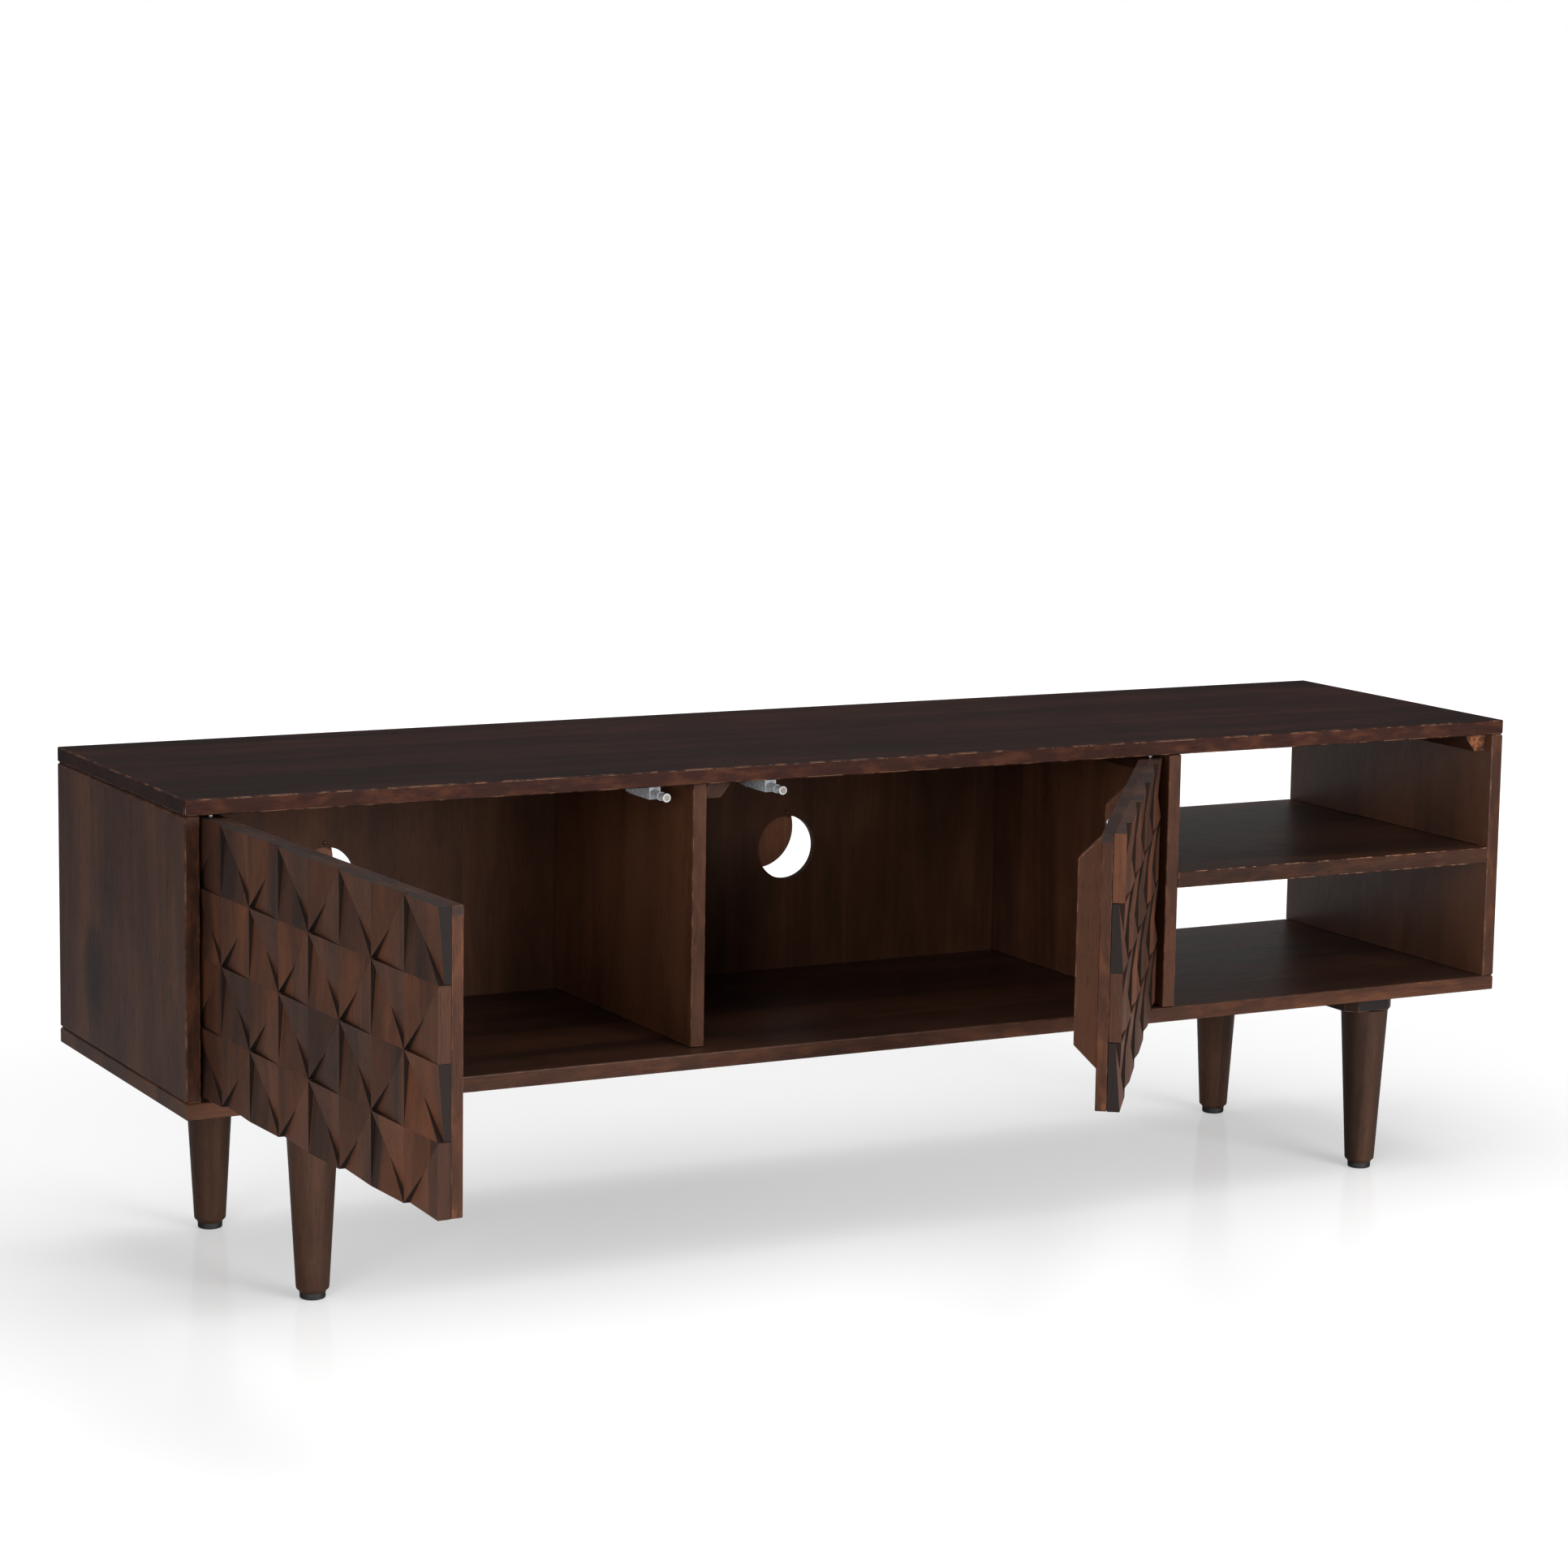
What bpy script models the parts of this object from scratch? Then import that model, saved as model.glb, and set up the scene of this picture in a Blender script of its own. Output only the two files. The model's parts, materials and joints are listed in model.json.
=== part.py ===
"""Low media cabinet: two carved cupboard doors on pivot pins, one open bay, four turned legs.

Metres, +Z up. The front faces -Y, the floor is z = 0, and x = 0 is the middle of the width.
"""

import math

import bmesh
import bpy
from mathutils import Matrix, Vector

# Case
WIDTH = 1.600
DEPTH = 0.400
LEG_HEIGHT = 0.208  # floor to the underside of the bottom panel
BODY_HEIGHT = 0.318
BOARD = 0.0165
SIDE_BOARD = 0.0155
EASE = 0.0010  # softened board edges
GROOVE = 0.0019  # chamfer on both sides of the outer corner joints
FIT = 0.0003  # air between pieces that touch

# Inside
CENTRE_LEFT_X = -0.2353
CENTRE_SETBACK = 0.0290
RIGHT_LEFT_X = 0.3379
SHELF_TOP_Z = 0.3770
SHELF = 0.0180
HOUSING = 0.0050  # how far the shelf is let into the two panels
HOUSING_STOP = 0.0200
BACK_PANEL_IN = 0.3720  # inner face behind the front of the case
BACK_PANEL = 0.0090

# Cable holes and their swivel covers
HOLE_RADIUS = 0.0368
HOLE_Z = 0.3670
HOLE_X = (("left", -0.5105), ("middle", 0.0578))
COVER_RADIUS = 0.0460
COVER_ARM = 0.0380
COVER = 0.0060
COVER_SCREW_RISE = 0.0415
COVER_REST = math.radians(60)

# Doors
DOOR_CLEAR_BOTTOM = 0.0050
DOOR_CLEAR_TOP = 0.0030
DOOR_SIDE_GAP = 0.0050
DOOR_MEETING_GAP = 0.0050
DOOR_INSET = 0.0015
PIVOT_IN = 0.0160  # pin axis from the panel beside it
PIVOT_BACK = 0.0150  # pin axis behind the front of the case
PIN_RADIUS = 0.0028
PIN_IN_DOOR = 0.0180
PIN_IN_PANEL = 0.0080
LEFT_OPEN = math.radians(-87.4)
MIDDLE_OPEN = math.radians(53.2)
STRIP = 0.0124
STRIP_LOW = 0.0066
DOOR_BOARD = 0.0117
COLUMNS = 8
ROWS = 4
WALL_HALF = 0.00035  # half the width of a carved step in plan
HINGE_CHAMFER = 0.0042
BATTEN_STAND = 0.0248
BATTEN_WIDE = 0.0220
BATTEN_FROM_HINGE = 0.1550
BATTEN_FROM_FREE = {"left": 0.0750, "middle": 0.0300}
BATTEN_FOOT = 0.0340
BATTEN_HEAD = 0.0065

# Push latches
LATCH_X = (("left", -0.2653), ("middle", -0.1287))
LATCH_Z = 0.4925
LATCH_TIP = 0.0298  # plunger tip behind the front of the case
LATCH_REACH = 0.0290
LATCH_WIDE = 0.0130
LATCH_LONG = 0.0500
LATCH_LUG = 0.0120
PLUNGER_RADIUS = 0.0046

# Cleats under the top
CLEAT_WIDE = 0.0280
CLEAT_FOOT = 0.0160
CLEAT_HIGH = 0.0200

# Legs
LEG_X = 0.6510
LEG_IN = 0.0475  # leg centres from the front and the back of the case
LEG_TOP_RADIUS = 0.0272
LEG_FOOT_RADIUS = 0.0170
RAIL_OUTER_X = 0.6785
RAIL_INNER_X = 0.6120
RAIL_IN = 0.0220
RAIL_CORNER = 0.0120
RAIL = 0.0175
GLIDE_RADIUS = 0.0132
GLIDE = 0.0066
BOLT_RADIUS = 0.0040

BOTTOM_TOP_Z = LEG_HEIGHT + BOARD
TOP_Z = LEG_HEIGHT + BODY_HEIGHT
UNDER_TOP_Z = TOP_Z - BOARD
SIDE_IN_X = WIDTH / 2 - SIDE_BOARD
DOOR_SPAN = RIGHT_LEFT_X + SIDE_IN_X - 2 * DOOR_SIDE_GAP - DOOR_MEETING_GAP
DOOR_WIDE = DOOR_SPAN / 2
DOOR_Z0 = BOTTOM_TOP_Z + DOOR_CLEAR_BOTTOM
DOOR_Z1 = UNDER_TOP_Z - DOOR_CLEAR_TOP
EDGE = PIVOT_IN - DOOR_SIDE_GAP  # door edge from the pin axis
FACE = PIVOT_BACK - DOOR_INSET  # highest carved plane from the pin axis
# y = 0 is halfway between the tip of the open left door and the back of the case.
DOOR_OUT = (DOOR_WIDE - EDGE) * math.sin(-LEFT_OPEN) + FACE * math.cos(LEFT_OPEN)
FRONT_Y = (DOOR_OUT - PIVOT_BACK - DEPTH) / 2
BACK_Y = FRONT_Y + DEPTH
BACK_PANEL_Y = FRONT_Y + BACK_PANEL_IN
LEFT_PIVOT = Vector((-SIDE_IN_X + PIVOT_IN, FRONT_Y + PIVOT_BACK, 0))
MIDDLE_PIVOT = Vector((RIGHT_LEFT_X - PIVOT_IN, FRONT_Y + PIVOT_BACK, 0))

for old in list(bpy.data.objects):
    bpy.data.objects.remove(old, do_unlink=True)


def material(name, colour, rough, metallic=0.0, clear=0.0):
    made = bpy.data.materials.new(name)
    made.use_nodes = True
    shader = made.node_tree.nodes["Principled BSDF"]
    shader.inputs["Base Color"].default_value = (*colour, 1)
    shader.inputs["Roughness"].default_value = rough
    shader.inputs["Metallic"].default_value = metallic
    shader.inputs["Transmission Weight"].default_value = clear
    return made


WOOD = material("stained_wood", (0.060, 0.026, 0.015), 0.42)
INNER_WOOD = material("dark_inner_wood", (0.030, 0.016, 0.011), 0.5)
CARVED = material("carved_wood", (0.070, 0.034, 0.022), 0.45)
STEEL = material("zinc_steel", (0.62, 0.62, 0.60), 0.3, 1.0)
PLASTIC = material("clear_plastic", (0.62, 0.64, 0.66), 0.2, 0.0, 0.6)
BLACK = material("black_plastic", (0.012, 0.012, 0.012), 0.6)


def finish(bm, name, slot, parent=None, smooth=False):
    bmesh.ops.remove_doubles(bm, verts=bm.verts, dist=1e-6)
    bmesh.ops.recalc_face_normals(bm, faces=bm.faces)
    mesh = bpy.data.meshes.new(name)
    bm.to_mesh(mesh)
    bm.free()
    mesh.materials.append(slot)
    if smooth:
        mesh.shade_smooth()
        mesh.set_sharp_from_angle(angle=math.radians(35))
    made = bpy.data.objects.new(name, mesh)
    bpy.context.scene.collection.objects.link(made)
    made.parent = parent
    return made


def box(low, high, ease=0.0):
    bm = bmesh.new()
    size = Vector(high) - Vector(low)
    middle = (Vector(high) + Vector(low)) / 2
    bmesh.ops.create_cube(bm, size=1)
    bmesh.ops.scale(bm, verts=bm.verts, vec=size)
    bmesh.ops.translate(bm, verts=bm.verts, vec=middle)
    if ease:
        bmesh.ops.bevel(bm, geom=bm.edges, offset=ease, segments=1, affect="EDGES", profile=0.5)
    return bm


def prism(outline, low, high, axis="y", ease=0.0):
    """An outline drawn in the plane across the axis, pushed along it."""
    bm = bmesh.new()
    place = {
        "x": lambda a, b, c: (c, a, b),
        "y": lambda a, b, c: (a, c, b),
        "z": lambda a, b, c: (a, b, c),
    }[axis]
    near = [bm.verts.new(place(a, b, low)) for a, b in outline]
    far = [bm.verts.new(place(a, b, high)) for a, b in outline]
    caps = [bm.faces.new(near), bm.faces.new(far)]
    count = len(outline)
    for i in range(count):
        j = (i + 1) % count
        bm.faces.new((near[i], near[j], far[j], far[i]))
    bmesh.ops.recalc_face_normals(bm, faces=bm.faces)
    if ease:
        rims = list({edge for cap in caps for edge in cap.edges})
        bmesh.ops.bevel(bm, geom=rims, offset=ease, segments=1, affect="EDGES", profile=0.5)
    return bm


def lathe(profile, steps=32):
    """A closed profile of (radius, height) turned round z, its ends on the axis."""
    bm = bmesh.new()
    verts = [bm.verts.new((r, 0, z)) for r, z in profile]
    edges = [bm.edges.new((verts[i], verts[i + 1])) for i in range(len(verts) - 1)]
    bmesh.ops.spin(
        bm, geom=verts + edges, cent=(0, 0, 0), axis=(0, 0, 1), steps=steps, angle=2 * math.pi
    )
    bmesh.ops.remove_doubles(bm, verts=bm.verts, dist=1e-6)
    return bm


def rod(radius, low, high, axis="z", steps=24):
    bm = bmesh.new()
    bmesh.ops.create_cone(
        bm, cap_ends=True, segments=steps, radius1=radius, radius2=radius, depth=high - low
    )
    bmesh.ops.translate(bm, verts=bm.verts, vec=(0, 0, (low + high) / 2))
    if axis == "y":
        bmesh.ops.rotate(bm, verts=bm.verts, matrix=Matrix.Rotation(-math.pi / 2, 3, "X"))
    return bm


def moved(bm, x=0.0, y=0.0, z=0.0):
    bmesh.ops.translate(bm, verts=bm.verts, vec=(x, y, z))
    return bm


def cut(target, bm, name):
    cutter = finish(bm, name, STEEL, target.parent)
    cutter.hide_render = True
    cutter.display_type = "WIRE"
    boolean = target.modifiers.new(name, "BOOLEAN")
    boolean.operation = "DIFFERENCE"
    boolean.solver = "EXACT"
    boolean.object = cutter


def empty(name, at, turn=(0, 0, 0)):
    made = bpy.data.objects.new(name, None)
    made.location = at
    made.rotation_euler = turn
    bpy.context.scene.collection.objects.link(made)
    return made


# Top and bottom panels: full width, over and under the sides. The edge that meets
# the side panels is chamfered, and so leaves half of the V-groove at each corner.
half = WIDTH / 2
top_outline = (
    (-half + GROOVE, UNDER_TOP_Z),
    (half - GROOVE, UNDER_TOP_Z),
    (half, UNDER_TOP_Z + GROOVE),
    (half, TOP_Z - EASE),
    (half - EASE, TOP_Z),
    (-half + EASE, TOP_Z),
    (-half, TOP_Z - EASE),
    (-half, UNDER_TOP_Z + GROOVE),
)
top_panel = finish(prism(top_outline, FRONT_Y, BACK_Y, "y", EASE), "top_panel", WOOD)
bottom_outline = [(x, LEG_HEIGHT + TOP_Z - z) for x, z in top_outline]
bottom_panel = finish(
    prism(bottom_outline, FRONT_Y, BACK_Y, "y", EASE), "bottom_panel", WOOD
)

# Side panels, chamfered outside at both ends for the other half of the groove.
low_z = BOTTOM_TOP_Z + FIT
high_z = UNDER_TOP_Z - FIT
sides = {}
for side, sign in (("left", -1), ("right", 1)):
    outline = (
        (sign * SIDE_IN_X, low_z),
        (sign * (half - GROOVE), low_z),
        (sign * half, low_z + GROOVE),
        (sign * half, high_z - GROOVE),
        (sign * (half - GROOVE), high_z),
        (sign * SIDE_IN_X, high_z),
    )
    sides[side] = finish(
        prism(outline, FRONT_Y, BACK_Y, "y", EASE), f"side_panel_{side}", WOOD
    )

# Dividers: the centre one stops behind the closed doors and against the back panel,
# the right one is as deep as the case.
divider_centre = finish(
    box(
        (CENTRE_LEFT_X, FRONT_Y + CENTRE_SETBACK, low_z),
        (CENTRE_LEFT_X + BOARD, BACK_PANEL_Y - FIT, high_z),
        EASE,
    ),
    "divider_centre",
    WOOD,
)
divider_right = finish(
    box((RIGHT_LEFT_X, FRONT_Y, low_z), (RIGHT_LEFT_X + BOARD, BACK_Y, high_z), EASE),
    "divider_right",
    WOOD,
)

# Shelf of the open bay, housed in stopped grooves in the divider and the side.
bay_x0 = RIGHT_LEFT_X + BOARD + FIT
bay_x1 = SIDE_IN_X - FIT
stop_y = FRONT_Y + HOUSING_STOP
shelf_outline = (
    (bay_x0, FRONT_Y + 0.0002),
    (bay_x1, FRONT_Y + 0.0002),
    (bay_x1, stop_y + FIT),
    (bay_x1 + HOUSING, stop_y + FIT),
    (bay_x1 + HOUSING, BACK_Y - 0.0002),
    (bay_x0 - HOUSING, BACK_Y - 0.0002),
    (bay_x0 - HOUSING, stop_y + FIT),
    (bay_x0, stop_y + FIT),
)
finish(prism(shelf_outline, SHELF_TOP_Z - SHELF, SHELF_TOP_Z, "z"), "open_shelf", WOOD)
for target, x0, x1 in (
    (divider_right, RIGHT_LEFT_X + BOARD - HOUSING - FIT, RIGHT_LEFT_X + BOARD + 0.02),
    (sides["right"], SIDE_IN_X - 0.02, SIDE_IN_X + HOUSING + FIT),
):
    low = (x0, stop_y, SHELF_TOP_Z - SHELF - FIT)
    high = (x1, BACK_Y + 0.02, SHELF_TOP_Z + FIT)
    cut(target, box(low, high), f"cut_housing_{target.name}")

# Back panel of the two cupboards, set in from the back, with its two cable holes.
back_panel = finish(
    box(
        (-SIDE_IN_X + FIT, BACK_PANEL_Y, low_z),
        (RIGHT_LEFT_X - FIT, BACK_PANEL_Y + BACK_PANEL, high_z),
    ),
    "back_panel",
    INNER_WOOD,
)
cover_y = BACK_PANEL_Y + BACK_PANEL + FIT
screw_z = HOLE_Z + COVER_SCREW_RISE
for bay, x in HOLE_X:
    hole = moved(rod(HOLE_RADIUS, BACK_PANEL_Y - 0.02, cover_y + 0.02, "y", 64), x, 0, HOLE_Z)
    cut(back_panel, hole, f"cut_hole_{bay}")
    bore = moved(rod(0.0023, BACK_PANEL_Y - 0.02, cover_y + 0.02, "y", 20), x, 0, screw_z)
    cut(back_panel, bore, f"cut_screw_{bay}")
    # Round swivel cover behind each hole, hung on one screw near its rim.
    pivot = empty(f"cover_pivot_{bay}", (x, 0, screw_z), (0, COVER_REST, 0))
    disc = moved(rod(COVER_RADIUS, cover_y, cover_y + COVER, "y", 64), 0, 0, -COVER_ARM)
    cover = finish(disc, f"cable_cover_{bay}", INNER_WOOD, pivot, smooth=True)
    cut(cover, rod(0.0024, cover_y - 0.02, cover_y + 0.03, "y", 20), f"cut_cover_{bay}")
    # Its screw: the head behind the disc, the point just through the back panel.
    head_y = cover_y + COVER + FIT
    profile = (
        (0, BACK_PANEL_Y - 0.0012),
        (0.0012, BACK_PANEL_Y - 0.0010),
        (0.0020, BACK_PANEL_Y - 0.0002),
        (0.0020, head_y),
        (0.0047, head_y),
        (0.0047, head_y + 0.0008),
        (0.0032, head_y + 0.0026),
        (0, head_y + 0.0030),
    )
    screw = lathe(profile, 20)
    bmesh.ops.rotate(screw, verts=screw.verts, matrix=Matrix.Rotation(-math.pi / 2, 3, "X"))
    finish(moved(screw, x, 0, screw_z), f"cover_screw_{bay}", STEEL, smooth=True)

# Cleats glued and screwed under the top, one beside each upright panel.
for name, foot_x, sign, y0, y1 in (
    ("cleat_left", -SIDE_IN_X, 1, FRONT_Y + 0.0400, BACK_PANEL_Y - FIT),
    ("cleat_centre", CENTRE_LEFT_X + BOARD, 1, FRONT_Y + 0.0300, BACK_PANEL_Y - FIT),
    ("cleat_divider", RIGHT_LEFT_X, -1, FRONT_Y + 0.0400, BACK_PANEL_Y - FIT),
    ("cleat_right", SIDE_IN_X, -1, FRONT_Y + 0.0120, BACK_Y - 0.0100),
):
    outline = (
        (foot_x + sign * FIT, high_z),
        (foot_x + sign * FIT, high_z - CLEAT_HIGH),
        (foot_x + sign * CLEAT_FOOT, high_z - CLEAT_HIGH),
        (foot_x + sign * CLEAT_WIDE, high_z - 0.0050),
        (foot_x + sign * CLEAT_WIDE, high_z),
    )
    finish(prism(outline, y0, y1, "y", 0.0006), name, WOOD)

# Leg rails under the bottom panel, front to back, with their corners sawn off.
rail_z1 = LEG_HEIGHT - FIT
rail_z0 = rail_z1 - RAIL
rails = {}
for side, sign in (("left", -1), ("right", 1)):
    x0, x1 = sorted((sign * RAIL_INNER_X, sign * RAIL_OUTER_X))
    y0 = FRONT_Y + RAIL_IN
    y1 = BACK_Y - RAIL_IN
    plan = (
        (x0 + RAIL_CORNER, y0),
        (x1 - RAIL_CORNER, y0),
        (x1, y0 + RAIL_CORNER),
        (x1, y1 - RAIL_CORNER),
        (x1 - RAIL_CORNER, y1),
        (x0 + RAIL_CORNER, y1),
        (x0, y1 - RAIL_CORNER),
        (x0, y0 + RAIL_CORNER),
    )
    rails[side] = finish(prism(plan, rail_z0, rail_z1, "z", 0.0008), f"leg_rail_{side}", WOOD)

# Turned legs, each on a steel hanger bolt, with a pinned glide under its foot.
leg_top = rail_z0 - FIT
leg_profile = (
    (0, GLIDE + FIT),
    (GLIDE_RADIUS + 0.0006, GLIDE + FIT),
    (GLIDE_RADIUS + 0.0008, GLIDE + 0.0018),
    (LEG_FOOT_RADIUS - 0.0006, GLIDE + 0.0036),
    (LEG_FOOT_RADIUS, GLIDE + 0.0052),
    (LEG_TOP_RADIUS, leg_top),
    (0, leg_top),
)
glide_profile = (
    (0, 0),
    (GLIDE_RADIUS - 0.0016, 0),
    (GLIDE_RADIUS - 0.0004, 0.0006),
    (GLIDE_RADIUS, 0.0018),
    (GLIDE_RADIUS, GLIDE),
    (0.0018, GLIDE),
    (0.0018, GLIDE + 0.0130),
    (0, GLIDE + 0.0140),
)
bolt_z0 = leg_top - 0.0420
bolt_z1 = LEG_HEIGHT + 0.0100
for name, x, y in (
    ("front_left", -LEG_X, FRONT_Y + LEG_IN),
    ("front_right", LEG_X, FRONT_Y + LEG_IN),
    ("back_left", -LEG_X, BACK_Y - LEG_IN),
    ("back_right", LEG_X, BACK_Y - LEG_IN),
):
    leg = finish(moved(lathe(leg_profile, 48), x, y), f"leg_{name}", WOOD, smooth=True)
    bore = rod(BOLT_RADIUS + FIT, bolt_z0 - FIT, bolt_z1 + FIT)
    cut(leg, moved(bore, x, y), f"cut_bolt_{name}")
    cut(leg, moved(rod(0.0022, 0, GLIDE + 0.0146, steps=16), x, y), f"cut_glide_{name}")
    glide = moved(lathe(glide_profile, 32), x, y)
    finish(glide, f"glide_{name}", BLACK, smooth=True)
    bolt = moved(rod(BOLT_RADIUS, bolt_z0, bolt_z1), x, y)
    finish(bolt, f"leg_bolt_{name}", STEEL, smooth=True)
    bore = rod(BOLT_RADIUS + FIT, bolt_z0 - FIT, bolt_z1 + FIT)
    cut(rails[name.split("_")[1]], moved(bore, x, y), f"cut_rail_{name}")
    bore = rod(BOLT_RADIUS + FIT, bolt_z0 - FIT, bolt_z1 + FIT)
    cut(bottom_panel, moved(bore, x, y), f"cut_panel_{name}")

# Push latches under the top: clear housing with a rear screw lug, and a round
# plunger with a steel tip that slides front to back.
tip_y = FRONT_Y + LATCH_TIP
plunger_back = tip_y + LATCH_REACH
for bay, x in LATCH_X:
    front = plunger_back
    rear = front + LATCH_LONG
    wide = LATCH_WIDE / 2
    slim = wide - 0.0025
    plan = (
        (x - wide, front),
        (x + wide, front),
        (x + wide, rear),
        (x + slim, rear + 0.0020),
        (x + slim, rear + LATCH_LUG),
        (x - slim, rear + LATCH_LUG),
        (x - slim, rear + 0.0020),
        (x - wide, rear),
    )
    housing = prism(plan, LATCH_Z - 0.0056, high_z, "z", 0.0005)
    body = finish(housing, f"latch_body_{bay}", PLASTIC)
    well = moved(rod(PLUNGER_RADIUS + FIT, front - 0.01, rear - 0.0060, "y", 32), x, 0, LATCH_Z)
    cut(body, well, f"cut_well_{bay}")
    lug_y = rear + LATCH_LUG - 0.0060
    bore = moved(rod(0.0019, LATCH_Z - 0.02, TOP_Z, steps=16), x, lug_y)
    cut(body, bore, f"cut_lug_{bay}")
    profile = (
        (0, LATCH_Z - 0.0078),
        (0.0018, LATCH_Z - 0.0078),
        (0.0034, LATCH_Z - 0.0066),
        (0.0034, LATCH_Z - 0.0056 - FIT),
        (0.0016, LATCH_Z - 0.0056 - FIT),
        (0.0016, UNDER_TOP_Z + 0.0095),
        (0, UNDER_TOP_Z + 0.0110),
    )
    finish(moved(lathe(profile, 16), x, lug_y), f"latch_screw_{bay}", STEEL, smooth=True)
    bore = moved(rod(0.0019, UNDER_TOP_Z - 0.01, UNDER_TOP_Z + 0.0115, steps=16), x, lug_y)
    cut(top_panel, bore, f"cut_latch_screw_{bay}")
    pivot = empty(f"plunger_axis_{bay}", (x, tip_y, LATCH_Z))
    r = PLUNGER_RADIUS
    back = LATCH_REACH + 0.0240
    profile = (
        (0, 0.0009 + FIT),
        (0.0031, 0.0009 + FIT),
        (0.0031, 0),
        (r - 0.0004, 0),
        (r, 0.0004),
        (r, 0.0030),
        (r - 0.0006, 0.0034),
        (r - 0.0006, LATCH_REACH - 0.0160),
        (r, LATCH_REACH - 0.0156),
        (r, back),
        (0, back),
    )
    plunger = lathe(profile, 32)
    bmesh.ops.rotate(plunger, verts=plunger.verts, matrix=Matrix.Rotation(-math.pi / 2, 3, "X"))
    finish(plunger, f"plunger_{bay}", PLASTIC, pivot, smooth=True)
    tip = rod(0.0028, 0.0001, 0.0009, "y", 24)
    finish(tip, f"plunger_tip_{bay}", STEEL, pivot, smooth=True)


def carved_facets(row, top, foot):
    """The triangles of one carved row, as corners (across, up, rise).

    Each column holds two, and each is a plane with one corner cut low. The diagonals
    fall to the right in the odd columns of odd rows, and take turns from there.
    """
    pitch = DOOR_WIDE / COLUMNS
    high, low = STRIP, STRIP_LOW
    facets = []
    for k in range(COLUMNS):
        l, r = k * pitch, (k + 1) * pitch
        if (k + row) % 2 == 0:
            facets.append(((l, top, low), (l, foot, high), (r, foot, high)))
            facets.append(((l, top, high), (r, foot, low), (r, top, high)))
        else:
            facets.append(((l, top, high), (l, foot, high), (r, top, low)))
            facets.append(((r, top, high), (l, foot, low), (r, foot, high)))
    return facets


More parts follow.
